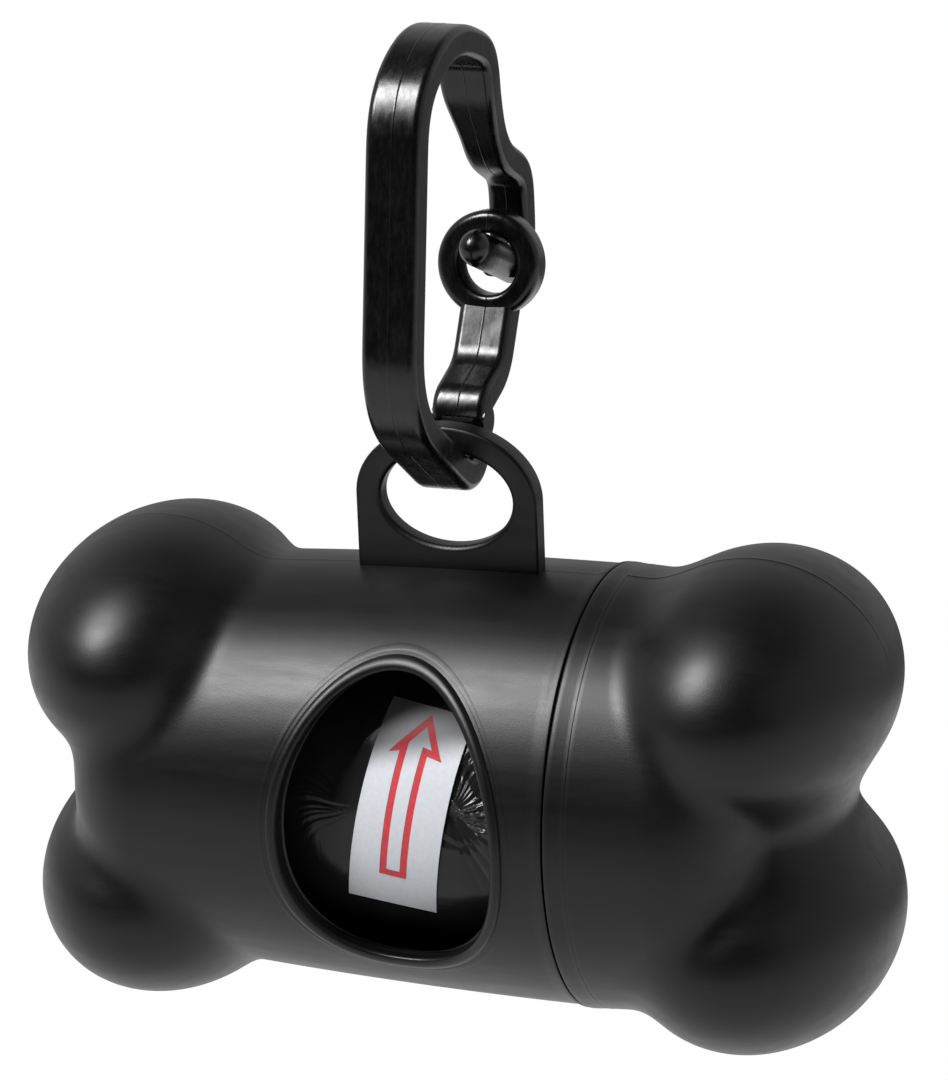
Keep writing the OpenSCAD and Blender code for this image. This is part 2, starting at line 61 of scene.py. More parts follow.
def add(name, verts, faces, shift=BONE, sharp=SHARP):
    """New mesh object from points in millimetres, smooth apart from edges over sharp degrees."""
    mesh = bpy.data.meshes.new(name)
    points = (np.asarray(verts, float) + shift) * MM
    mesh.from_pydata([tuple(p) for p in points], [], [tuple(int(i) for i in f) for f in faces])
    mesh.update()
    ob = bpy.data.objects.new(name, mesh)
    bpy.context.collection.objects.link(ob)
    soften(ob, sharp)
    return ob


def soften(ob, sharp):
    """Shades a mesh smooth, apart from edges over sharp degrees."""
    ob.data.shade_smooth()
    ob.data.set_sharp_from_angle(angle=math.radians(sharp))


def outward(ob):
    """Turns every face of a closed mesh outwards."""
    work = bmesh.new()
    work.from_mesh(ob.data)
    bmesh.ops.recalc_face_normals(work, faces=work.faces)
    work.to_mesh(ob.data)
    work.free()


def solid(name, verts, faces, shift=BONE, sharp=SHARP):
    """New closed mesh object with its faces turned outwards."""
    ob = add(name, verts, faces, shift, sharp)
    outward(ob)
    soften(ob, sharp)
    return ob


def grid_faces(rows, n):
    """Quads between rows of n points each, closed round every row."""
    faces = []
    for first in range(0, (rows - 1) * n, n):
        for i in range(n):
            j = (i + 1) % n
            faces.append((first + i, first + j, first + n + j, first + n + i))
    return faces


def hoop(rows):
    """Points and quads of rows that close round and whose last joins the first."""
    m, n = len(rows), len(rows[0])
    last = (m - 1) * n
    seam = [(last + i, last + (i + 1) % n, (i + 1) % n, i) for i in range(n)]
    return np.array(rows).reshape(-1, 3), grid_faces(m, n) + seam


def stack(rings, tip0=None, tip1=None):
    """Points and faces of a closed form from rings of equal count, each end flat or drawn to a tip."""
    n = len(rings[0])
    points = [p for ring in rings for p in ring]
    faces = grid_faces(len(rings), n)
    last = (len(rings) - 1) * n
    if tip0 is None:
        faces.append(tuple(range(n - 1, -1, -1)))
    else:
        points.append(tip0)
        faces += [((i + 1) % n, i, len(points) - 1) for i in range(n)]
    if tip1 is None:
        faces.append(tuple(last + i for i in range(n)))
    else:
        points.append(tip1)
        faces += [(last + i, last + (i + 1) % n, len(points) - 1) for i in range(n)]
    return np.array(points), faces


def split_circle(n, near, clear):
    """Cosines and sines of n angles, with close stations where the two mould halves meet.

    The stations stand at the angles near from the parting plane, in place of those within clear of it.
    """
    a = np.arange(n) * TAU / n
    for parting in (QUARTER, 3 * QUARTER):
        a = np.r_[a[np.abs(a - parting) > clear], parting + np.array(near)]
    a.sort()
    return np.cos(a), np.sin(a)


def lathe(profile, circle):
    """Rings about the X axis from (x, radius) pairs, at the angles whose cosines and sines are circle."""
    c, s = circle
    return [np.column_stack([np.full(len(c), x), -r * c, r * s]) for x, r in profile]


def loop_normals(p):
    """Outward normals of a closed outline that runs counter-clockwise."""
    d = np.roll(p, -1, 0) - np.roll(p, 1, 0)
    d /= np.linalg.norm(d, axis=1)[:, None]
    return np.column_stack([d[:, 1], -d[:, 0]])


def lengths_along(path):
    """Distance of each point of a path from its start."""
    return np.r_[0, np.cumsum(np.linalg.norm(np.diff(path, axis=0), axis=1))]


def at_lengths(path, lengths, wanted):
    """Points of a path at the wanted lengths along it."""
    return np.column_stack([np.interp(wanted, lengths, path[:, k]) for k in (0, 1)])


def smoothstep(t):
    t = np.clip(t, 0, 1)
    return t * t * (3 - 2 * t)


def unit(v):
    v = np.asarray(v, float)
    return v / np.linalg.norm(v)


def weigh(ob):
    """Keeps flat faces flat in the shading, next to rounded edges."""
    mod = ob.modifiers.new("flat_faces", "WEIGHTED_NORMAL")
    mod.keep_sharp = True
    mod.weight = FLAT_WEIGHT


def combine(ob, tools, operation="DIFFERENCE"):
    """Cuts closed tool meshes out of a closed mesh, or joins them to it, and applies that."""
    for closed in (*tools, ob):
        outward(closed)
    for tool in tools:
        mod = ob.modifiers.new("combine", "BOOLEAN")
        mod.operation = operation
        mod.object = tool
        mod.solver = "EXACT"
        graph = bpy.context.evaluated_depsgraph_get()
        mesh = bpy.data.meshes.new_from_object(ob.evaluated_get(graph))
        ob.modifiers.clear()
        old = ob.data
        ob.data = mesh
        bpy.data.meshes.remove(old)
    for tool in tools:
        bpy.data.objects.remove(tool)


# ---------------------------------------------------------------- bone form

TUBE_R = 20.0
CAP_R = 20.2
TUBE_LEN = 48.0
CAP_LEN = 16.6
END_ROUND = 8.0
SEAM = 0.25  # gap between body and cap
TUBE_TAPER, TAPER_SPAN = 0.9, 30.0  # radius that the tube has lost at that distance from the seam
CAP_TAPER = 0.05  # radius that the cap loses with each millimetre
# the two knobs of a side: their middle at x and at z above and below the axis, half sizes, and blend
LEFT = {"x": -42.49, "z": 11.1, "half": (12, 18.5, 11.4), "blend": 7.2}
RIGHT = {"x": 13.99, "z": 11.03, "half": (12.4, 18.2, 11.6), "blend": 8.0}
KNOB_BLEND = 1.7  # between the knobs and the tube
REACH_LO, REACH_HI, HALVINGS = 6.0, 42.0, 26  # the skin is searched for between these distances

# where front and back mould halves meet: a ridge, and a step up to the back half
RIDGE_H, STEP_H, RIDGE_W = 0.04, 0.02, 0.09
RIDGE_FADE_R = 4.0  # nearer to the axis than that the ridge fades
BODY_RIDGE = 0.4  # height of the body's ridge as a share of the cap's
STATION = 0.0028  # angle between close stations of the skin, where the ridge stands
SKIN = split_circle(224, np.array([-2.5, -1, -0.5, 0, 0.5, 1, 2.5]) * STATION, 3.2 * STATION)
BODY_RINGS, CAP_RINGS, FAN_RINGS = 44, 40, 96  # along each moulding, and over each end


def smooth_min(a, b, k):
    """Lesser of two distances, rounded where they are within k of each other."""
    h = np.clip(0.5 + 0.5 * (b - a) / k, 0, 1)
    return b * (1 - h) + a * h - k * h * (1 - h)


def egg(p, centre, half):
    """About the distance of points to an ellipsoid."""
    q = p - np.array(centre)
    half = np.array(half)
    k0 = np.linalg.norm(q / half, axis=-1)
    k1 = np.linalg.norm(q / half**2, axis=-1) + 1e-9
    return k0 * (k0 - 1) / k1


def knobs(p, side):
    """Distance to the upper and lower knob of one side."""
    upper, lower = (egg(p, (side["x"], 0, z), side["half"]) for z in (side["z"], -side["z"]))
    return smooth_min(upper, lower, side["blend"])


def tube_radius(x):
    return np.where(x < 0, TUBE_R - TUBE_TAPER * (x / TAPER_SPAN) ** 2, CAP_R - CAP_TAPER * x)


def bone_dist(p):
    """Distance of points to the bone: a tube with round ends, blended with two knobs a side."""
    middle, half = (CAP_LEN - TUBE_LEN) / 2, (CAP_LEN + TUBE_LEN) / 2 - END_ROUND
    dx = np.abs(p[..., 0] - middle) - half
    dr = np.hypot(p[..., 1], p[..., 2]) - (tube_radius(p[..., 0]) - END_ROUND)
    corner = np.hypot(np.maximum(dx, 0), np.maximum(dr, 0))
    tube = np.minimum(np.maximum(dx, dr), 0) + corner - END_ROUND
    ends = np.where(p[..., 0] < 0, knobs(p, LEFT), knobs(p, RIGHT))
    return smooth_min(tube, ends, KNOB_BLEND)


def reach(c, d):
    """Points where rays from c along d leave the bone."""
    lo, hi = np.full(len(d), REACH_LO), np.full(len(d), REACH_HI)
    for _ in range(HALVINGS):
        mid = (lo + hi) / 2
        inside = bone_dist(c + d * mid[:, None]) < 0
        lo, hi = np.where(inside, mid, lo), np.where(inside, hi, mid)
    return c + d * lo[:, None]


def with_parting(p):
    """Adds the fine ridge and step where the front and back mould halves meet."""
    y = p[:, 1]
    rise = RIDGE_H * np.clip(1 - np.abs(y) / RIDGE_W, 0, 1) + STEP_H * np.clip(y / RIDGE_W + 0.5, 0, 1)
    rise = rise * np.where(p[:, 0] < 0, BODY_RIDGE, 1.0)
    away = p * [0, 1, 1]
    return p + away / np.maximum(np.linalg.norm(away, axis=1), RIDGE_FADE_R)[:, None] * rise[:, None]


def skin_ring(x, tilt=0.0, side=1):
    """Ring of the bone's skin as seen from x on the axis, tilted towards one end."""
    c, s = SKIN
    d = np.column_stack([np.full(len(c), side * math.sin(tilt)), -math.cos(tilt) * c, math.cos(tilt) * s])
    return with_parting(reach(np.array([x, 0, 0]), d))


def skin(start, fan_x, side, count):
    """Rings of the bone's skin from x = start over one end, and the end's tip."""
    rings = [skin_ring(x) for x in start + (fan_x - start) * np.arange(count) / count]
    rings += [skin_ring(fan_x, tilt, side) for tilt in QUARTER * np.arange(FAN_RINGS) / FAN_RINGS]
    tip = reach(np.array([fan_x, 0, 0]), np.array([[side, 0.0, 0.0]]))[0]
    return rings, tip


def rounded_mouth(rings, r):
    """Rounds the outer edge of the body's first ring and closes it towards the axis."""
    out = []
    for turn in (90, 60, 30, 0):
        k = math.radians(turn)
        ring = rings[0].copy()
        radial = np.hypot(ring[:, 1], ring[:, 2])
        ring[:, 1:] *= ((radial - r + r * math.cos(k)) / radial)[:, None]
        ring[:, 0] -= r - r * math.sin(k)
        out.append(ring)
    return out + rings[1:]


# ---------------------------------------------------------------- body

WALL = 1.5
BODY_FAN_X = -36.0  # where the rings start to fan out over the closed end
MOUTH_ROUND = 0.12
NECK_R, NECK_BORE, NECK_LEN = 17.8, 16.2, 9.0
IN_END, IN_CORNER, IN_CORNER_R = -46.5, 10.4, 6.5  # inside of the closed end and its round corner
AXIS_R = 4.0  # last ring before a flat end is drawn to its middle
WIN_X, WIN_HALF_W, WIN_TOP, WIN_BOTTOM = -15.0, 10.2, 14.4, 12.2
WIN_POWER = 2 / 2.3  # makes the window's lower half a little squarer than an ellipse
WIN_POINTS, LIP_POINTS = 180, 260
EVEN_PASSES = 3
TOOL_BACK, TOOL_FRONT = -8.0, -26.0  # ends in Y of the form that cuts the window
THREAD_H, THREAD_PITCH, THREAD_TURNS = 0.95, 4.0, 1.25
THREAD_ROOT, THREAD_CREST, THREAD_SINK = 1.5, 0.7, 0.3
THREAD_STEPS = 96  # sections in one turn
THREAD_EASE, THREAD_EDGE = 0.1, 0.85  # bevel of the crest, and share of the height where it starts
RUN_OUT, RUN_START = 8, 0.05  # the ridge grows over an eighth of its length, from that share
BODY_THREAD_X = 2.4

# window lip, as distance outwards from the window's edge and height over the tube
FLASH = [(0.1, -1.72), (-0.16, -1.66), (-0.25, -1.58), (-0.25, -1.5), (-0.17, -1.43), (-0.05, -1.39)]
INNER_SIDE = [(-0.03, -1.3), (-0.03, -0.5), (-0.03, -0.04), (0, 0.12), (0.1, 0.27)]
BEAD = [(0.25, 0.38), (0.45, 0.43), (0.65, 0.42), (0.85, 0.34), (0.98, 0.2), (1.05, 0.05)]
GROOVE = [(1.08, -0.03), (1.14, -0.07), (1.22, -0.05), (1.34, 0), (1.5, 0.02), (1.8, 0.0), (2.0, -0.05)]


def window_plan(n):
    """Outline of the window in X and Z with evenly spaced points, and its outward normals."""
    a = np.arange(n) * TAU / n
    c, s = np.cos(a), np.sin(a)
    up = s > 0
    x = np.where(up, c, np.sign(c) * np.abs(c) ** WIN_POWER) * WIN_HALF_W
    z = np.where(up, s * WIN_TOP, np.sign(s) * np.abs(s) ** WIN_POWER * WIN_BOTTOM)
    p = np.column_stack([x, z])
    for _ in range(EVEN_PASSES):
        loop = np.vstack([p, p[:1]])
        lengths = lengths_along(loop)
        p = at_lengths(loop, lengths, np.arange(n) * lengths[-1] / n)
    return p + [WIN_X, 0], loop_normals(p)


def on_tube(x, z, h):
    """Points h proud of the tube's front at x and z, or straight back into its wall when h is negative."""
    r = tube_radius(x)
    y = -np.sqrt(r**2 - z**2)
    k = (r + max(h, 0)) / r
    return np.column_stack([x, y * k - min(h, 0), z * k])


def thread(r, h, x0):
    """Ridge of a right-hand thread of height h on radius r, inward when h is negative."""
    steps = int(THREAD_STEPS * THREAD_TURNS)
    root = r - THREAD_SINK * np.sign(h)
    half_root, half_crest = THREAD_ROOT / 2, THREAD_CREST / 2
    rings = []
    for i in range(steps + 1):
        t = i / steps
        a = TAU * THREAD_TURNS * t
        run = min(1, RUN_OUT * min(t, 1 - t) + RUN_START)
        edge, top = r + THREAD_EDGE * h * run, r + h * run
        profile = [(root, -half_root), (root, half_root),
                   (edge, half_crest + THREAD_EASE), (top, half_crest - THREAD_EASE),
                   (top, THREAD_EASE - half_crest), (edge, -THREAD_EASE - half_crest)]
        x = x0 + THREAD_PITCH * THREAD_TURNS * t
        rings.append([(x + dx, q * math.cos(a), q * math.sin(a)) for q, dx in profile])
    return stack(rings)


def make_shell():
    """Body moulding: skin, neck, hollow inside and the window cut through."""
    rings, tip = skin(0.0, BODY_FAN_X, -1, BODY_RINGS)
    rings = rounded_mouth(rings, MOUTH_ROUND)
    inner = [(0, NECK_R), (NECK_LEN - 0.4, NECK_R), (NECK_LEN - 0.1, NECK_R - 0.1),
             (NECK_LEN, NECK_R - 0.4), (NECK_LEN, NECK_BORE + 0.3), (NECK_LEN - 0.2, NECK_BORE + 0.05),
             (NECK_LEN - 0.5, NECK_BORE), (-WALL, NECK_BORE)]
    corner_x = IN_END + IN_CORNER_R
    inner += [(x, float(tube_radius(x)) - WALL) for x in (-2 * WALL, *np.linspace(-6, corner_x, 12))]
    inner += [(corner_x - IN_CORNER_R * math.sin(a), IN_CORNER + IN_CORNER_R * math.cos(a))
              for a in np.linspace(0.15, QUARTER, 8)]
    inner.append((IN_END, AXIS_R))
    form = stack(list(reversed(rings)) + lathe(inner, SKIN), tip0=tip, tip1=(IN_END, 0, 0))
    body = add("body_moulding", *form)
    plan, _ = window_plan(WIN_POINTS)
    prism = [np.column_stack([plan[:, 0], np.full(len(plan), y), plan[:, 1]])
             for y in (TOOL_FRONT, TOOL_BACK)]
    combine(body, [add("window_tool", *stack(prism))])
    soften(body, 40)
    return body


def make_lip():
    """Lip of the window: a fine flash inside, and a narrow bead with a steep outer side."""
    plan, out = window_plan(LIP_POINTS)
    rows = [on_tube(plan[:, 0] + out[:, 0] * u, plan[:, 1] + out[:, 1] * u, h)
            for u, h in FLASH + INNER_SIDE + BEAD + GROOVE]
    faces = [f[::-1] for f in grid_faces(len(rows), len(plan))]
    return add("window_lip", np.array(rows).reshape(-1, 3), faces, sharp=60)


EYE_T = 2.2
EYE_HALF_W, EYE_TOP = 8.6, 6.8  # half width of the plate, and its round top over the hole's middle
EYE_HOLE = (6.25, 4.45)  # half width and half height
EYE_HOLE_Z, EYE_FOOT_Z = 26.3, 19.0
EYE_HOLE_ROUND, EYE_EDGE_ROUND = 0.55, 0.28


def make_eyelet():
    """Plate with a round top and an oval hole, all its edges rounded."""
    t, foot = EYE_T / 2, EYE_FOOT_Z - EYE_HOLE_Z
    arch = np.linspace(0, math.pi, 97)
    side = np.linspace(0, foot, 25)[1:]
    base = np.linspace(-EYE_HALF_W, EYE_HALF_W, 49)[1:-1]
    out = np.vstack([np.column_stack([EYE_HALF_W * np.cos(arch), EYE_TOP * np.sin(arch)]),
                     np.column_stack([0 * side - EYE_HALF_W, side]),
                     np.column_stack([base, 0 * base + foot]),
                     np.column_stack([0 * side + EYE_HALF_W, side[::-1]])])
    # the hole gets as many points as the outline, in line with them
    angle = np.arctan2(out[:, 1] / EYE_HOLE[1], out[:, 0] / EYE_HOLE[0])
    hole = np.column_stack([EYE_HOLE[0] * np.cos(angle), EYE_HOLE[1] * np.sin(angle)])
    hole_out, plate_out = loop_normals(hole), loop_normals(out)
    b, e = EYE_HOLE_ROUND, EYE_EDGE_ROUND
    arc = np.linspace(0, QUARTER, 6)
    rows = [(hole + hole_out * b * (1 - math.cos(k)), b * (1 - math.sin(k)) - t) for k in arc]
    rows += [(out - plate_out * e * (1 - math.sin(k)), e * (1 - math.cos(k)) - t) for k in arc]
    rows += [(p, -y) for p, y in reversed(rows)]
    rings = [np.column_stack([p[:, 0] - EYE_X, np.full(len(out), y), p[:, 1] + EYE_HOLE_Z])
             for p, y in rows]
    tab = solid("eyelet_tab", *hoop(rings), sharp=50)
    weigh(tab)
    return tab


def make_body():
    body = make_shell()
    ridge = solid("neck_thread", *thread(NECK_R, THREAD_H, BODY_THREAD_X))
    parts = [body, ridge, make_lip(), make_eyelet()]
    for p in parts:
        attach(p, "body")
    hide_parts("body_shell")
    return parts


# ---------------------------------------------------------------- cap

RIM_X = SEAM + 1.8  # end of the cap's mouth band
CAP_FAN_X = 9.0
RIM_BORE, CAP_BORE = 19.7, 18.95
SHOULDER_X, ROLL_BORE = 9.6, 17.0  # past the neck the cap narrows to that
CAP_CORNER_X, CAP_CORNER_R = 11.6, 3.5
CAP_IN_END = CAP_CORNER_X + CAP_CORNER_R
CAP_THREAD_X = 1.2
TUCK, TUCK_SHARE = 0.4, 0.995  # the cap's edge goes in under the band, that far and at that share


def make_rim():
    """Mouth band of the cap, a little hollow between its edges."""
    r, x0 = CAP_R, SEAM - 0.12
    profile = [(x0, r - 0.2), (x0 + 0.02, r - 0.06), (x0 + 0.08, r), (x0 + 0.22, r + 0.03),
               (x0 + 0.6, r + 0.01), (RIM_X - 0.5, r - 0.08), (RIM_X - 0.16, r - 0.09),
               (RIM_X - 0.08, r - 0.075), (RIM_X - 0.02, r - 0.09), (RIM_X, r - 0.11),
               (RIM_X, RIM_BORE + 0.02), (x0, RIM_BORE - 0.08)]
    return solid("cap_rim_band", *hoop(lathe(profile, SKIN)), sharp=50)


def make_cap():
    rings, tip = skin(SEAM, CAP_FAN_X, 1, CAP_RINGS)
    mouth = skin_ring(RIM_X)
    under = mouth * [1, TUCK_SHARE, TUCK_SHARE] - [TUCK, 0, 0]
    keep = [under, mouth] + [r for r in rings if r[0, 0] > RIM_X + 0.2]
    inner = [(RIM_X, RIM_BORE), (SEAM + 0.1, RIM_BORE - 0.1), (SEAM, RIM_BORE - 0.2),
             (SEAM, CAP_BORE + 0.15), (SEAM + 0.15, CAP_BORE), (SHOULDER_X, CAP_BORE),
             (SHOULDER_X, ROLL_BORE)]
    corner, flat_r = CAP_CORNER_R, ROLL_BORE - CAP_CORNER_R
    inner += [(CAP_CORNER_X + corner * math.sin(a), flat_r + corner * math.cos(a))
              for a in np.linspace(0, QUARTER, 6)]
    inner.append((CAP_IN_END, AXIS_R))
    form = stack(list(reversed(keep)) + lathe(inner, SKIN), tip0=tip, tip1=(CAP_IN_END, 0, 0))
    cap = solid("cap_moulding", *form, sharp=40)
    inside = solid("cap_thread", *thread(CAP_BORE, -THREAD_H, CAP_THREAD_X))
    for p in (cap, inside):
        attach(p, "cap")
    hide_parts("end_cap")
    rim = make_rim()
    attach(rim, "rim")
    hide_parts("cap_rim")
    return [cap, inside, rim]


# ---------------------------------------------------------------- clip

BAR = 28.8  # middle of the band at its lowest, above the bone's axis
CROWN = BAR + 39.2
BEND = 3.1
PIVOT = (BEND + 1.0, BAR + BEND + 0.3)  # y and z of the gate's hinge
RING, RING_R, HOLE_R = (13.3, BAR + 15.5), 4.9, 2.8  # y and z of the ring's middle, and its radii
RING_HALF_T, RING_EDGE, HOLE_EDGE = 1.55, 0.75, 0.55
FACE_RIDGE, FACE_RIDGE_W, FACE_DRAFT = 0.025, 0.06, 0.022  # on both faces of the ring
LEAN = math.radians(10)  # of the ring
RISE = math.radians(24)  # of the prong
SLOPE = math.radians(36)  # from the bar to the spine
SPINE_Y, BROW_Y, NOSE_Y = -13.4, 9.3, 19.27
NOSE_RUN = 3.2  # from the nose's lower bend back to the prong's root
BAND_T, BAND_W, NOSE_W = 2.9, 5.1, 3.8
NARROW_Y, NARROW_UP, NARROW_SPAN = 3.0, 27.0, 7.0  # in front of that y the band narrows towards the nose
BAND_EDGE = 0.7
TONGUE_W, PEG_R, PEG_EDGE, GAP = 2.98, 0.75, 0.12, 0.06
PEGS_W = TONGUE_W + 1.3
SWING_ROOM = 0.2  # tools reach past the band's round end by that much
PRONG_R, PRONG_LEN, BALL_LEN, PRONG_BACK = 1.7, 4.6, 1.55, -3.0
PRONG_ROOT = (-5.6, 1.75)  # last station and radius, inside the band
BALL_END = 0.02  # angle at which the ball's rings end in a small flat
CREASE = 0.25  # depth of the crease along the prong, on each half
HALF_ROUND = 33  # points of one half of the prong
LINE_W, LINE_HOLD, LINE_H = 0.05, 0.06, 0.022  # parting line of the band
RING_STATIONS, RING_CLEAR = [-0.025, -0.012, 0, 0.012, 0.025], 0.03
BEND_STEP, STRAIGHT_STEP = 4.0, 1.2  # degrees and millimetres between points of a path
EASE_STEP, EASE_SPREAD, EASE_END = 0.3, 1.0, 3.0  # spacing, reach, and length of the ends that ease less


def bent_path(corners):
    """Points of a line through corners (y, z, radius) with round bends."""
    p = [np.array(c[:2], float) for c in corners]
    rough = [p[0]]
    for i in range(1, len(p) - 1):
        u, v, r = unit(p[i - 1] - p[i]), unit(p[i + 1] - p[i]), corners[i][2]
        half = math.acos(np.clip(u @ v, -1, 1)) / 2
        c = p[i] + unit(u + v) * r / math.sin(half)
        f = p[i] + u * r / math.tan(half) - c
        g = p[i] + v * r / math.tan(half) - c
        turn = math.pi - 2 * half
        way = np.sign(f[0] * g[1] - f[1] * g[0])
        n = max(2, math.ceil(math.degrees(turn) / BEND_STEP))
        for k in range(n + 1):
            a = way * turn * k / n
            ca, sa = math.cos(a), math.sin(a)
            rough.append(c + [f[0] * ca - f[1] * sa, f[0] * sa + f[1] * ca])
    rough.append(p[-1])
    fine = [rough[0]]
    for q in rough[1:]:  # long straights get points too
        extra = int(np.linalg.norm(q - fine[-1]) / STRAIGHT_STEP)
        a = fine[-1]
        fine += [a + (q - a) * k / (extra + 1) for k in range(1, extra + 1)] + [q]
    return np.array(fine)


def eased(path):
    """Evens out the points of a path and softens its changes of bend, keeping both ends."""
    lengths = lengths_along(path)
    total = lengths[-1]
    t = np.linspace(0, total, int(total / EASE_STEP))
    p = at_lengths(path, lengths, t)
    near_end = np.minimum(t, total - t) / EASE_END
    soft = []
    for ti, near in zip(t, near_end):
        sigma = EASE_SPREAD * min(1.0, near) + 1e-4
        w = np.exp(-0.5 * ((t - ti) / sigma) ** 2)
        soft.append(w @ p / w.sum())
    return np.array(soft)


def band_section(w):
    """Rounded section with a fine parting line raised along the middle of both faces."""
    points = []
    r, t = BAND_EDGE, BAND_T
    for k, (sx, sy) in enumerate(((1, 1), (-1, 1), (-1, -1), (1, -1))):
        turns = [math.radians(90 * k + a) for a in range(0, 91, 15)]
        arc = [(sx * (w / 2 - r) + r * math.cos(a), sy * (t / 2 - r) + r * math.sin(a)) for a in turns]
        hold = ((w / 2 - r - LINE_HOLD) * sx, sy * t / 2)
        if k % 2:
            points += [hold] + arc
            continue
        line = ((LINE_W + LINE_HOLD, 0), (LINE_W, 0), (0, LINE_H), (-LINE_W, 0), (-LINE_W - LINE_HOLD, 0))
        points += arc + [hold] + [(sx * x, sy * (t / 2 + h)) for x, h in line]
    return points


def band(name, path, width):
    """Band of the clip along a path in its middle plane, with a width for each point."""
    d = np.gradient(path, axis=0)
    d /= np.linalg.norm(d, axis=1)[:, None]
    across = np.column_stack([-d[:, 1], d[:, 0]])
    rings = []
    for p, n, w in zip(path, across, width):
        rings.append([(x, p[0] + n[0] * y, p[1] + n[1] * y) for x, y in band_section(w)])
    return add(name, *stack(rings), shift=CLIP, sharp=50)


def round_bar(name, w, r, x=0.0, edge=0.0):
    """Bar along X about the gate's pivot, w wide and centred at x, its ends bevelled by edge."""
    n = 64
    a = np.arange(n) * TAU / n
    profile = [(-w / 2, r), (w / 2, r)]
    if edge:
        profile = [(-w / 2, r - edge), (edge - w / 2, r), (w / 2 - edge, r), (w / 2, r - edge)]
    rings = [np.column_stack([np.full(n, x + d), PIVOT[0] + q * np.cos(a), PIVOT[1] + q * np.sin(a)])
             for d, q in profile]
    return add(name, *stack(rings), shift=CLIP, sharp=50)


def quarter_arc(start, x, y, r):
    """Points of a quarter circle about x and y, from the angle start."""
    return [(x + r * math.cos(a), y + r * math.sin(a)) for a in np.linspace(start, start + QUARTER, 7)]


def make_gate_ring():
    """Leaning ring, both its faces sloping away from a fine ridge at the parting plane."""
    rim, x = RING_R - RING_EDGE, RING_HALF_T - RING_EDGE
    profile = quarter_arc(0, x, rim, RING_EDGE) + quarter_arc(QUARTER, -x, rim, RING_EDGE)
    hole, x = HOLE_R + HOLE_EDGE, RING_HALF_T - HOLE_EDGE
    profile += quarter_arc(2 * QUARTER, -x, hole, HOLE_EDGE) + quarter_arc(3 * QUARTER, x, hole, HOLE_EDGE)
    axis = np.array([0, -math.cos(LEAN), math.sin(LEAN)])
    up = np.array([0, math.sin(LEAN), math.cos(LEAN)])
    side = np.array([1.0, 0, 0])
    centre = np.array([0, *RING])
    c, s = split_circle(128, RING_STATIONS, RING_CLEAR)
    rows = []
    for along, r in profile:
        x = r * c
        on_face = abs(along) > RING_HALF_T - 2 * HOLE_EDGE
        ridge = FACE_RIDGE * np.clip(1 - np.abs(x) / FACE_RIDGE_W, 0, 1)
        draft = np.sign(along) * (ridge - FACE_DRAFT * np.abs(x)) * on_face
        rows.append(centre + np.outer(along + draft, axis) + np.outer(x, side) + np.outer(r * s, up))
    return add("gate_ring", *hoop(rows), shift=CLIP, sharp=60)


def make_prong(prong_z):
    """Bar with a ball end, its two halves meeting in a fine crease."""
    d = np.array([0, -math.cos(RISE), math.sin(RISE)])
    up = np.array([0, math.sin(RISE), math.cos(RISE)])
    base = np.array([0, RING[0], prong_z])
    profile = [(PRONG_LEN + BALL_LEN * math.sin(a), PRONG_R * math.cos(a))
               for a in np.linspace(QUARTER - BALL_END, 0, 14)]
    profile += [(x, PRONG_R) for x in np.linspace(PRONG_LEN - 0.6, PRONG_BACK, 10)] + [PRONG_ROOT]
    flat = math.asin(CREASE / PRONG_R)
    a = np.r_[np.linspace(flat - QUARTER, QUARTER - flat, HALF_ROUND),
              np.linspace(QUARTER + flat, 3 * QUARTER - flat, HALF_ROUND)]
    x = np.cos(a) - np.where(np.cos(a) > 0, 1, -1) * CREASE / PRONG_R
    z = np.sin(a)
    z[[0, HALF_ROUND - 1, HALF_ROUND, -1]] = [-0.99, 0.99, 0.99, -0.99]  # either side of the crease
    rings = [base + d * t + r * (np.outer(x, [1.0, 0, 0]) + np.outer(z, up)) for t, r in profile]
    return solid("clip_prong", *stack(rings), shift=CLIP, sharp=60)


def make_frame_band(prong_z):
    """Band from the gate's hinge round the spine and the crown to the nose, with a tongue at the hinge."""
    foot_z = BAR + BEND * (1 - math.cos(SLOPE)) - (SPINE_Y + BEND * math.sin(SLOPE)) * math.tan(SLOPE)
    corner_z = BAR + BEND - BEND / math.tan((QUARTER - SLOPE) / 2)
    elbow_z = prong_z - (NOSE_Y - RING[0]) * math.tan(RISE)
    nose_end = (NOSE_Y - NOSE_RUN * math.cos(RISE), elbow_z + NOSE_RUN * math.sin(RISE), 0)
    path = eased(bent_path([
        (PIVOT[0], PIVOT[1] + 0.1, 0), (BEND, corner_z, BEND), (SPINE_Y, foot_z, 8.5),
        (-8.6, CROWN - 2.8, 7.2), (0.2, CROWN + 0.8, 11), (BROW_Y, CROWN - 2.9, 3),
        (BROW_Y, CROWN - 6.2, 4.4), (13.7, CROWN - 13.7, 5), (NOSE_Y, CROWN - 16.6, 2.6),
        (NOSE_Y, elbow_z, 2), nose_end]))
    narrowing = NOSE_W + (BAND_W - NOSE_W) * smoothstep((path[:, 1] - BAR - NARROW_UP) / NARROW_SPAN)
    width = np.where(path[:, 0] < NARROW_Y, BAND_W, narrowing)
    made = band("clip_band", path, width)
    combine(made, [round_bar("end_tool", BAND_W, BAND_T / 2)], "UNION")
    pocket_x = (TONGUE_W + BAND_W) / 2
    combine(made, [round_bar("pocket_tool", BAND_W, BAND_T / 2 + SWING_ROOM, x)
                   for x in (-pocket_x, pocket_x)])
    return made


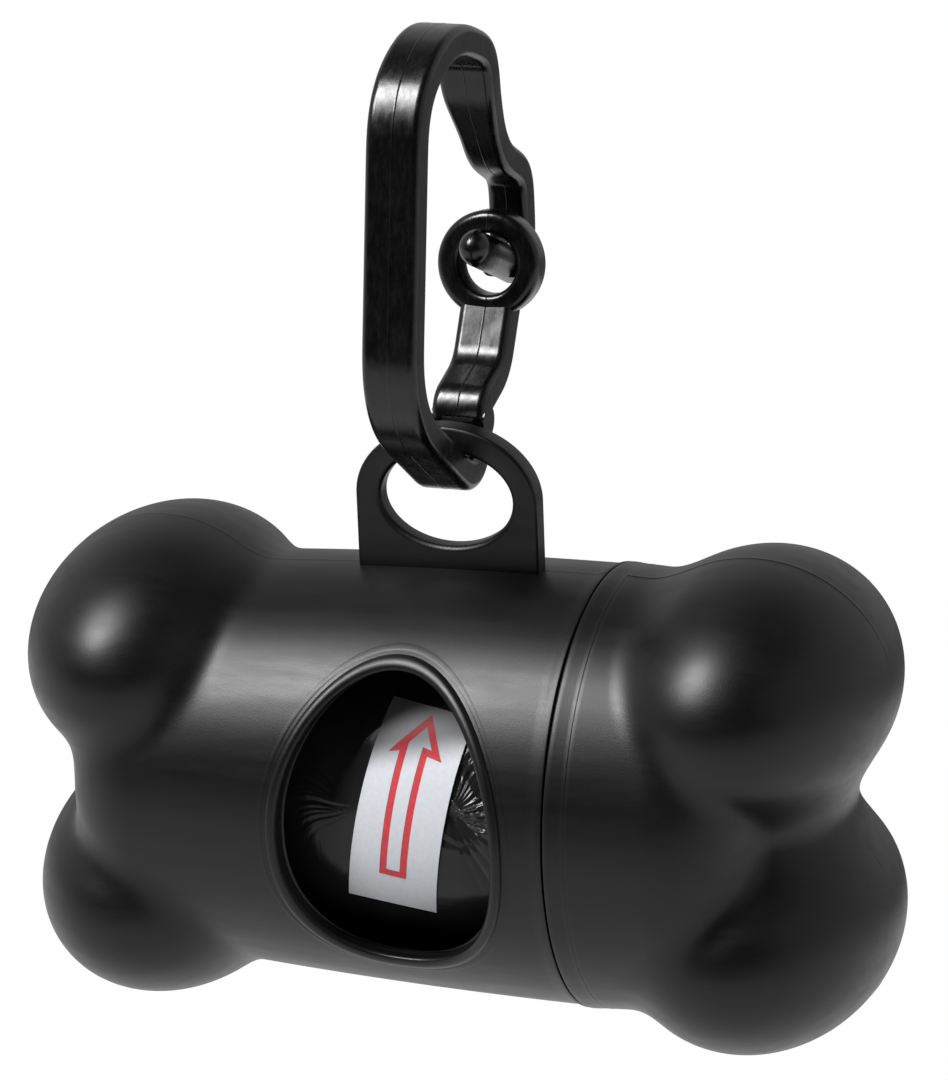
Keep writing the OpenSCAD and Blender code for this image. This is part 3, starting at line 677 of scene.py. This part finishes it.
def make_gate_arm():
    """Arm of the gate, ending in a fork that holds the frame's tongue."""
    foot = (RING[0] - RING_R * math.sin(LEAN), RING[1] - RING_R * math.cos(LEAN))
    in_ring = (foot[0] + math.sin(LEAN), foot[1] + math.cos(LEAN), 0)
    path = bent_path([(PIVOT[0], PIVOT[1] + 0.2, 0), (PIVOT[0], PIVOT[1] + 1.55, 1.5),
                      (foot[0] - 2.95, foot[1] - 4.1, 5), in_ring])
    arm = band("gate_arm", path, np.full(len(path), BAND_W))
    combine(arm, [round_bar("root_tool", BAND_W, BAND_T / 2)], "UNION")
    combine(arm, [round_bar("slot_tool", TONGUE_W + 2 * GAP, BAND_T / 2 + SWING_ROOM),
                  round_bar("bore_tool", PEGS_W + 2 * GAP, PEG_R + GAP)])
    return arm


def make_clip():
    prong_z = RING[1] + 0.7
    frame_band = make_frame_band(prong_z)
    pegs = round_bar("clip_pegs", PEGS_W, PEG_R, edge=PEG_EDGE)
    prong = make_prong(prong_z)
    arm = make_gate_arm()
    ring = make_gate_ring()
    for p in (frame_band, pegs, prong, arm, ring):
        soften(p, 45)
        if p is not prong:
            weigh(p)
        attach(p, "gate" if p in (arm, ring) else "clip")
    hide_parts("clip_frame")
    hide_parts("clip_gate")
    return [frame_band, pegs, prong, arm, ring]


# ---------------------------------------------------------------- roll of bags

ROLL_R = 15.0
ROLL_DROP = 0.9  # the roll lies that far below the bone's axis
ROLL_X0, ROLL_X1 = -42.93, 12.83
CORE_R = 7.02  # hole for the cardboard core
END_RINGS = (CORE_R, 10.5, 14.0)
LABEL_X = -14.8
LABEL_UP, LABEL_LEAN = math.radians(9.2), math.radians(10.8)
LABEL_W, LABEL_LEN = 8.2, 19.7
LABEL_TOP, LABEL_LOW = 0.15, 0.01  # faces of the label over the roll
LABEL_ACROSS, LABEL_ALONG = 16, 60  # points
FINE_X, FINE_A = (-27, -3), 0.9  # the film has close points there, round the window
DEEPEST = 0.7
END_DROP, END_RUN = 0.6, 0.8  # rounding of the roll's ends
PRESSED = 0.04  # the film under the label
MARGIN = 0.05
RIGHT_GATHER, LEFT_GATHER = (-10.5, 2.7), (-19.2, 2.5)  # x and arc height where the film's pleats start
# outline of the printed arrow, as length and width on the label, and how it is drawn
ARROW = [(9.1, 0.1), (5.25, 2.45), (5.4, 1.0), (-6.4, 1.2), (-6.45, -1.3), (5.25, -1.65), (4.9, -2.65)]
STROKE, ARROW_UP, ARROW_PARTS = 0.62, 0.175, 24


def on_roll(x, a, r):
    """Points of the roll at angle a above its front."""
    return np.stack([x + 0 * a, -r * np.cos(a), r * np.sin(a) - ROLL_DROP], -1)


def fine_range(lo, hi, f0, f1, coarse, fine):
    """Stations from lo to hi, close together between f0 and f1."""
    before, after = np.linspace(lo, f0, coarse), np.linspace(f1, hi, coarse)
    return np.unique(np.r_[before, np.linspace(f0, f1, fine), after])


def gathers(x, v, centre, side, edges, gains, slope, length):
    """Depth of pleats that fan out from a point, with flat facets between the given directions."""
    dx, dv = (x - centre[0]) * side, v - centre[1]
    r, phi = np.hypot(dx, dv), np.degrees(np.arctan2(dv, dx))
    phi = phi + 4 * np.sin(0.9 * r + 1.0)
    fade = smoothstep(r / 0.8) * (1 - smoothstep((r - 0.35 * length) / (0.65 * length)))
    deep = 0 * x
    for t0, t1, g in zip(edges, edges[1:], gains):
        inside = np.clip(np.minimum(phi - t0, t1 - phi), 0, None)
        deep = deep + g * slope * r * np.radians(inside)
    return deep * fade


def long_crease(x, v, turn, depth):
    """Depth of a crease that runs down from the label's right edge."""
    t = math.radians(turn)
    dx, dv = x - RIGHT_GATHER[0], v - RIGHT_GATHER[1]
    along = dx * math.cos(t) + dv * math.sin(t)
    off = -dx * math.sin(t) + dv * math.cos(t)
    wide = 0.18 + 0.03 * np.clip(along, 0, 9)
    return depth * np.exp(-np.abs(off / wide) ** 1.2) * smoothstep(along) * smoothstep((10 - along) / 4)


def film_dent(x, v):
    """How deep the film's creases are at x and arc height v, in millimetres."""
    rng = np.random.default_rng(11)
    waves = 0.5 + 0.5 * np.sin(0.55 * x + 0.8 * np.sin(0.35 * v))
    dent = 0.05 * waves * (0.5 + 0.5 * np.sin(0.21 * v + 1.3))
    # each fan: start, side, lowest and highest direction, pleats, slope and length
    for centre, side, lo, hi, count, slope, length in ((RIGHT_GATHER, 1, -38, 84, 13, 0.85, 9),
                                                       (LEFT_GATHER, -1, -42, 46, 12, 0.34, 8)):
        shares = (np.arange(count + 1) + rng.uniform(-0.35, 0.35, count + 1)) / count
        gains = rng.uniform(0.35, 1.0, count)
        dent = dent + gathers(x, v, centre, side, lo + (hi - lo) * shares, gains, slope, length)
    for turn, depth in ((-50, 0.16), (-61, 0.22), (-70, 0.1)):
        dent = dent + long_crease(x, v, turn, depth)
    return dent


def label_point(u, v, r):
    """Point of the label at length u, width v and radius r."""
    x = LABEL_X + u * math.sin(LABEL_LEAN) + v * math.cos(LABEL_LEAN)
    a = LABEL_UP + (u * math.cos(LABEL_LEAN) - v * math.sin(LABEL_LEAN)) / ROLL_R
    return on_roll(x, a, np.full(np.shape(u), r))


def under_label(x, a):
    """Whether points of the roll lie under the label, a little in from its edges."""
    dx, dv = x - LABEL_X, (a - LABEL_UP) * ROLL_R
    u = dx * math.sin(LABEL_LEAN) + dv * math.cos(LABEL_LEAN)
    v = dx * math.cos(LABEL_LEAN) - dv * math.sin(LABEL_LEAN)
    return (np.abs(u) < LABEL_LEN / 2 - MARGIN) & (np.abs(v) < LABEL_W / 2 - MARGIN)


def make_film():
    """Roll of film with creases beside the label and slightly rounded ends."""
    xs = fine_range(ROLL_X0, ROLL_X1, *FINE_X, 40, 200)
    a = fine_range(-math.pi, math.pi, -FINE_A, FINE_A, 60, 220)[:-1]
    gx, ga = np.meshgrid(xs, a, indexing="ij")
    dent = film_dent(gx, ga * ROLL_R)
    end = np.minimum(gx - ROLL_X0, ROLL_X1 - gx)
    rounding = END_DROP * (1 - smoothstep(end / END_RUN))
    r = ROLL_R - np.clip(dent, 0, DEEPEST) - rounding
    r = np.where(under_label(gx, ga), ROLL_R - PRESSED, r)
    rows = [on_roll(gx[i], ga[i], r[i]) for i in range(len(xs))]
    first = [on_roll(np.full(len(a), ROLL_X0), a, np.full(len(a), q)) for q in END_RINGS]
    last = [on_roll(np.full(len(a), ROLL_X1), a, np.full(len(a), q)) for q in reversed(END_RINGS)]
    return solid("film_roll", *hoop(first + rows + last), sharp=50)


def make_label():
    """Bent sheet of paper on the roll."""
    v = np.linspace(-LABEL_W / 2, LABEL_W / 2, LABEL_ACROSS)
    rings = []
    for u in np.linspace(-LABEL_LEN / 2, LABEL_LEN / 2, LABEL_ALONG):
        along = np.full(LABEL_ACROSS, u)
        top = label_point(along, v, ROLL_R + LABEL_TOP)
        low = label_point(along, v[::-1], ROLL_R + LABEL_LOW)
        rings.append(np.vstack([top, low]))
    return solid("paper_label", *stack(rings), sharp=40)


def make_arrow():
    """Outlined arrow printed on the label, as a thin closed line."""
    outer = np.array(ARROW)
    inner = []
    for before, corner, after in zip(np.roll(outer, 1, 0), outer, np.roll(outer, -1, 0)):
        e, f = unit(corner - before), unit(after - corner)
        n1, n2 = np.array([-e[1], e[0]]), np.array([-f[1], f[0]])
        k = unit(n1 + n2)
        inner.append(corner + k * STROKE / (k @ n1))
    rows = []
    for loop in (outer, np.array(inner)):
        points = []
        for start, end in zip(loop, np.roll(loop, -1, 0)):
            points += [start + (end - start) * k / ARROW_PARTS for k in range(ARROW_PARTS)]
        u, v = np.array(points).T
        rows.append(label_point(u, v, ROLL_R + ARROW_UP))
    arrow = add("label_arrow", np.array(rows).reshape(-1, 3), grid_faces(2, len(rows[0])))
    if arrow.data.polygons[0].normal.y > 0:
        arrow.data.flip_normals()
    return arrow


def make_roll():
    film = make_film()
    label = make_label()
    arrow = make_arrow()
    for p, s in ((film, "film"), (label, "label_paper"), (arrow, "label_paper")):
        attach(p, "roll")
    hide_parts("bag_roll")
    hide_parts("roll_label")
    return film, label, arrow


# ---------------------------------------------------------------- materials


class Tree:
    """Short forms for making and linking the nodes of a material or a world."""

    def __init__(self, owner):
        owner.use_nodes = True
        self.nodes = owner.node_tree.nodes
        self.links = owner.node_tree.links

    def put(self, value, socket):
        """Links a value that is another node's output, and sets any other."""
        if isinstance(value, bpy.types.NodeSocket):
            self.links.new(value, socket)
        else:
            socket.default_value = value

    def node(self, kind, inputs, **settings):
        """Outputs of a new node, its inputs linked or set."""
        node = self.nodes.new("ShaderNode" + kind)
        for name, value in settings.items():
            setattr(node, name, value)
        for key, value in inputs.items():
            self.put(value, node.inputs[key])
        return node.outputs

    def coords(self, x=1.0, y=1.0, z=1.0):
        where = self.node("TexCoord", {})["Object"]
        return self.node("Mapping", {"Scale": (x, y, z), "Vector": where})["Vector"]

    def noise(self, where, scale, detail, rough):
        inputs = {"Vector": where, "Scale": scale, "Detail": detail, "Roughness": rough}
        return self.node("TexNoise", inputs)["Fac"]

    def ramp(self, share, low, high):
        """Colour or grey between two stops, each a position and a tone."""
        node = self.nodes.new("ShaderNodeValToRGB")
        for stop, (position, tone) in zip(node.color_ramp.elements, (low, high)):
            stop.position = position
            stop.color = (*tone, 1) if isinstance(tone, tuple) else (tone, tone, tone, 1)
        self.links.new(share, node.inputs["Fac"])
        return node.outputs["Color"]

    def bump(self, height, strength, distance, normal=None):
        inputs = {"Strength": strength, "Distance": distance, "Height": height}
        if normal is not None:
            inputs["Normal"] = normal
        return self.node("Bump", inputs)["Normal"]

    def span(self, value, start, end, low, high):
        """Goes smoothly from low to high while value goes from start to end."""
        inputs = {"Value": value, "From Min": start, "From Max": end, "To Min": low, "To Max": high}
        return self.node("MapRange", inputs, interpolation_type="SMOOTHSTEP")["Result"]

    def math(self, operation, a, b):
        return self.node("Math", {0: a, 1: b}, operation=operation)["Value"]

    def vector(self, operation, a, b):
        out = "Value" if operation in ("DOT_PRODUCT", "DISTANCE") else "Vector"
        return self.node("VectorMath", {0: a, 1: b}, operation=operation)[out]

    def blend(self, share, a, b):
        return self.node("MixRGB", {0: share, 1: a, 2: b})["Color"]

    def shade(self, inputs):
        """Links or sets inputs of the Principled shader."""
        for key, value in inputs.items():
            self.put(value, self.nodes["Principled BSDF"].inputs[key])


def material(name):
    mat = bpy.data.materials.new(name)
    return mat, Tree(mat)


def shell_plastic():
    """Satin black of the two bone mouldings: fine grain, and faint streaks in its gloss."""
    mat, tree = material("satin_black_plastic")
    where = tree.coords()
    cloud = tree.noise(where, scale=90, detail=4, rough=0.6)
    grain = tree.noise(where, scale=9000, detail=2, rough=0.6)
    streak = tree.noise(tree.coords(0.25, 1, 1.6), scale=420, detail=4, rough=0.65)
    tree.shade({
        "Base Color": tree.ramp(cloud, (0.3, (0.0008, 0.0008, 0.0009)), (0.7, (0.0016, 0.0016, 0.0018))),
        "Roughness": tree.ramp(streak, (0.3, 0.355), (0.72, 0.44)),
        "Normal": tree.bump(grain, strength=0.5, distance=0.000022),
        "Specular IOR Level": 0.345,
    })
    return mat


def clip_plastic():
    """Glossier black of the clip, with scuffs and shallow sink marks."""
    mat, tree = material("gloss_black_plastic")
    where = tree.coords()
    cloud = tree.noise(where, scale=160, detail=3, rough=0.5)
    scuff = tree.noise(tree.coords(2, 1, 0.6), scale=900, detail=4, rough=0.7)
    sink = tree.noise(where, scale=380, detail=2, rough=0.4)
    tree.shade({
        "Base Color": tree.ramp(cloud, (0.3, (0.0006, 0.0006, 0.0007)), (0.7, (0.0016, 0.0016, 0.0018))),
        "Roughness": tree.ramp(scuff, (0.35, 0.2), (0.75, 0.34)),
        "Normal": tree.bump(sink, strength=0.25, distance=0.0002),
        "Specular IOR Level": 0.42,
    })
    return mat


CRUSH_AT = (-8.8, -14.7, 2.3)  # middle of the crushed film, right of the label
CRUSH_IN, CRUSH_OUT = 2.2, 4.6  # full inside the first distance and gone past the second


def film_plastic():
    """Black film: fine crinkles, and small flat facets where it is crushed beside the label."""
    mat, tree = material("black_film")
    where = tree.coords()
    stretched = tree.coords(1, 0.35, 0.35)
    cloud = tree.noise(stretched, scale=300, detail=3, rough=0.5)
    crinkle = tree.noise(stretched, scale=900, detail=4, rough=0.6)
    cell = tree.node("TexVoronoi", {"Scale": 430, "Vector": where})
    tilt = tree.vector("SUBTRACT", cell["Color"], (0.5, 0.5, 0.85))
    height = tree.vector("DOT_PRODUCT", tree.vector("SUBTRACT", where, cell["Position"]), tilt)
    spot = (np.array(CRUSH_AT) + BONE) * MM
    near = tree.vector("DISTANCE", where, tuple(float(v) for v in spot))
    facets = tree.math("MULTIPLY", height, tree.span(near, CRUSH_IN * MM, CRUSH_OUT * MM, 0.9, 0.0))
    fine = tree.bump(crinkle, strength=0.3, distance=0.00012)
    tree.shade({
        "Base Color": tree.ramp(cloud, (0.3, (0.009, 0.009, 0.0093)), (0.7, (0.014, 0.014, 0.0145))),
        "Roughness": tree.ramp(crinkle, (0.3, 0.13), (0.75, 0.25)),
        "Normal": tree.bump(facets, strength=1.0, distance=1.0, normal=fine),
        "Specular IOR Level": 0.22,
    })
    return mat


SHADE_LEAN = 0.18  # slope of the edge of the shade painted on the label's top end
SHADE_X, SHADE_LOW, SHADE_HIGH = -16.0, 4.8, 7.6  # at that x it starts and is full at these heights


def painted_shade_end(tree):
    """0 on most of the label and 1 on its top end, where the window lip's shade is painted into the
    colour.
    """
    along = tree.vector("DOT_PRODUCT", tree.coords(), (-SHADE_LEAN, 0.0, 1.0))
    zero = BONE[2] - SHADE_LEAN * (BONE[0] + SHADE_X)
    return tree.span(along, float((zero + SHADE_LOW) * MM), float((zero + SHADE_HIGH) * MM), 0.0, 1.0)


def label_paper():
    mat, tree = material("label_paper")
    fibre = tree.noise(tree.coords(), scale=2500, detail=3, rough=0.6)
    sheet = tree.ramp(fibre, (0.3, (0.535, 0.55, 0.585)), (0.7, (0.585, 0.6, 0.635)))
    tree.shade({
        # painted shade: the top end of the paper is blended to dark grey where the window's lip shades it
        "Base Color": tree.blend(painted_shade_end(tree), sheet, (0.13, 0.13, 0.135, 1)),
        "Normal": tree.bump(fibre, strength=0.15, distance=0.00003),
        "Roughness": 0.5,
        "Specular IOR Level": 0.1,
    })
    return mat


def arrow_ink():
    mat, tree = material("red_ink")
    speckle = tree.noise(tree.coords(), scale=3000, detail=3, rough=0.6)
    ink = tree.ramp(speckle, (0.3, (0.46, 0.045, 0.055)), (0.7, (0.56, 0.065, 0.075)))
    tree.shade({
        # painted shade: the ink is blended to a dark red at the label's top end, in the window lip's shade
        "Base Color": tree.blend(painted_shade_end(tree), ink, (0.2, 0.002, 0.008, 1)),
        "Roughness": 0.45,
        "Specular IOR Level": 0.12,
    })
    return mat


def cardboard():
    mat, tree = material("cardboard")
    fibre = tree.noise(tree.coords(0.6, 1, 1), scale=1800, detail=5, rough=0.7)
    tree.shade({
        "Base Color": tree.ramp(fibre, (0.3, (0.33, 0.22, 0.125)), (0.7, (0.5, 0.36, 0.22))),
        "Normal": tree.bump(fibre, strength=0.4, distance=0.00008),
        "Roughness": 0.85,
    })
    return mat


def paint(obs, mat):
    for ob in obs:
        ob.data.materials.clear()
        ob.data.materials.append(mat)


# ---------------------------------------------------------------- stage, light and camera

MIDDLE = (0, 0, -0.05)  # of the whole object, in metres
FLOOR_Z, FLOOR_HALF_X, FLOOR_Y0, FLOOR_Y1 = -240.0, 2000, -1250, 450
WHITE = (1, 1, 1, 1)
FLOOR_GLOW = 1.015
FLOOR_GLOW_SHARE = 0.96  # the rest is a matt white that takes the shadow
FLOOR_ON_OTHERS = 0.85  # share of that look which diffuse rays meet, so that it lights film and label
KEY_AZ, KEY_EL, KEY_FAR = -45, 53, 0.65
KEY_SIZE, KEY_WATTS = (0.17, 0.32), 7.3
SENSOR = 36
FOCAL_PIXELS, PHOTO_PIXELS = 5616.216, 948  # lens and width of the photograph in its own pixels
CAMERA_AT = (168.79, -448.16, 115.82)
CAMERA_AZ, CAMERA_EL, CAMERA_ROLL = math.radians(20.392), math.radians(18.51), math.radians(-2.221)


def floor_material():
    """Pale floor, white in sight and in reflections."""
    mat, tree = material("pale_floor")
    path = tree.node("LightPath", {})
    see = tree.math("MAXIMUM", path["Is Camera Ray"], path["Is Glossy Ray"])
    see = tree.math("MAXIMUM", see, path["Is Transmission Ray"])
    see = tree.math("MAXIMUM", see, FLOOR_ON_OTHERS)
    tree.shade({"Base Color": (0.8, 0.8, 0.8, 1), "Roughness": 0.9})
    matt = tree.node("BsdfDiffuse", {"Color": WHITE})["BSDF"]
    glow = tree.node("Emission", {"Strength": FLOOR_GLOW})["Emission"]
    pale = tree.node("MixShader", {"Fac": FLOOR_GLOW_SHARE, 1: matt, 2: glow})["Shader"]
    plain = tree.nodes["Principled BSDF"].outputs["BSDF"]
    mixed = tree.node("MixShader", {"Fac": see, 1: plain, 2: pale})["Shader"]
    tree.put(mixed, tree.nodes["Material Output"].inputs["Surface"])
    return mat


def make_floor():
    corners = [(-FLOOR_HALF_X, FLOOR_Y0, 0), (FLOOR_HALF_X, FLOOR_Y0, 0),
               (FLOOR_HALF_X, FLOOR_Y1, 0), (-FLOOR_HALF_X, FLOOR_Y1, 0)]
    floor = add("floor", corners, [(0, 1, 2, 3)], shift=np.array([0, 0, FLOOR_Z]))
    paint([floor], floor_material())
    return floor


def make_world():
    """Studio room: pale below, beside and behind, dark in front and overhead, white for the camera."""
    world = bpy.data.worlds.new("studio")
    bpy.context.scene.world = world
    tree = Tree(world)
    way = tree.node("SeparateXYZ", {"Vector": tree.node("TexCoord", {})["Generated"]})
    low = tree.span(way["Z"], -0.4, -0.05, 0.5, 0.0)
    high = tree.span(way["Z"], 0.55, 0.85, 0.55, 0.08)
    front = tree.span(way["Y"], -0.78, -0.15, 0.04, 1.0)
    rear = tree.span(way["Y"], 0.5, 0.8, 0.0, 0.8)
    under = tree.span(way["Z"], -0.25, -0.02, 1.0, 0.0)
    gap = tree.math("SUBTRACT", 1.0, tree.math("MULTIPLY", rear, under))
    room = tree.math("MULTIPLY", tree.math("ADD", low, tree.math("MULTIPLY", high, front)), gap)
    path = tree.node("LightPath", {})
    seen = tree.math("MAXIMUM", path["Is Camera Ray"], path["Is Transmission Ray"])
    mirrored = tree.math("MULTIPLY", room, tree.math("MAXIMUM", path["Is Glossy Ray"], 0.3))
    back = tree.nodes["Background"].inputs
    tree.put(WHITE, back["Color"])
    tree.put(tree.math("MAXIMUM", mirrored, seen), back["Strength"])


def facing(az, el):
    """Direction from the object at an azimuth and elevation in radians, 0 and 0 being the front."""
    return Vector((math.sin(az) * math.cos(el), -math.cos(az) * math.cos(el), math.sin(el)))


def make_key():
    """Soft light from the upper left."""
    data = bpy.data.lights.new("key", "AREA")
    data.energy = KEY_WATTS
    data.shape = "RECTANGLE"
    data.size, data.size_y = KEY_SIZE
    key = bpy.data.objects.new("key", data)
    bpy.context.collection.objects.link(key)
    away = facing(math.radians(KEY_AZ), math.radians(KEY_EL))
    key.location = Vector(MIDDLE) + away * KEY_FAR
    key.rotation_mode = "QUATERNION"
    key.rotation_quaternion = (-away).to_track_quat("-Z", "Y")


def make_camera():
    """The photograph's camera, as recovered from the outline of the object."""
    data = bpy.data.cameras.new("camera")
    data.sensor_width = SENSOR
    data.sensor_fit = "HORIZONTAL"
    data.lens = FOCAL_PIXELS / PHOTO_PIXELS * SENSOR
    data.clip_start = 0.02
    data.clip_end = 20
    camera = bpy.data.objects.new("camera", data)
    bpy.context.collection.objects.link(camera)
    back = facing(CAMERA_AZ, CAMERA_EL)
    level = Vector((math.cos(CAMERA_AZ), math.sin(CAMERA_AZ), 0))
    plumb = back.cross(level)
    right = level * math.cos(CAMERA_ROLL) + plumb * math.sin(CAMERA_ROLL)
    up = plumb * math.cos(CAMERA_ROLL) - level * math.sin(CAMERA_ROLL)
    turn = Matrix((right, up, back)).transposed().to_4x4()
    camera.matrix_world = Matrix.Translation(Vector(CAMERA_AT) * MM) @ turn
    bpy.context.scene.camera = camera


paint(make_body() + make_cap(), shell_plastic())
paint(make_clip(), clip_plastic())
film, label, arrow = make_roll()
paint([film], film_plastic())
paint([label], label_paper())
paint([arrow], arrow_ink())
paint([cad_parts["roll_core"]], cardboard())

floor = make_floor()
make_world()
make_key()
make_camera()
bpy.context.scene.view_settings.view_transform = "Standard"
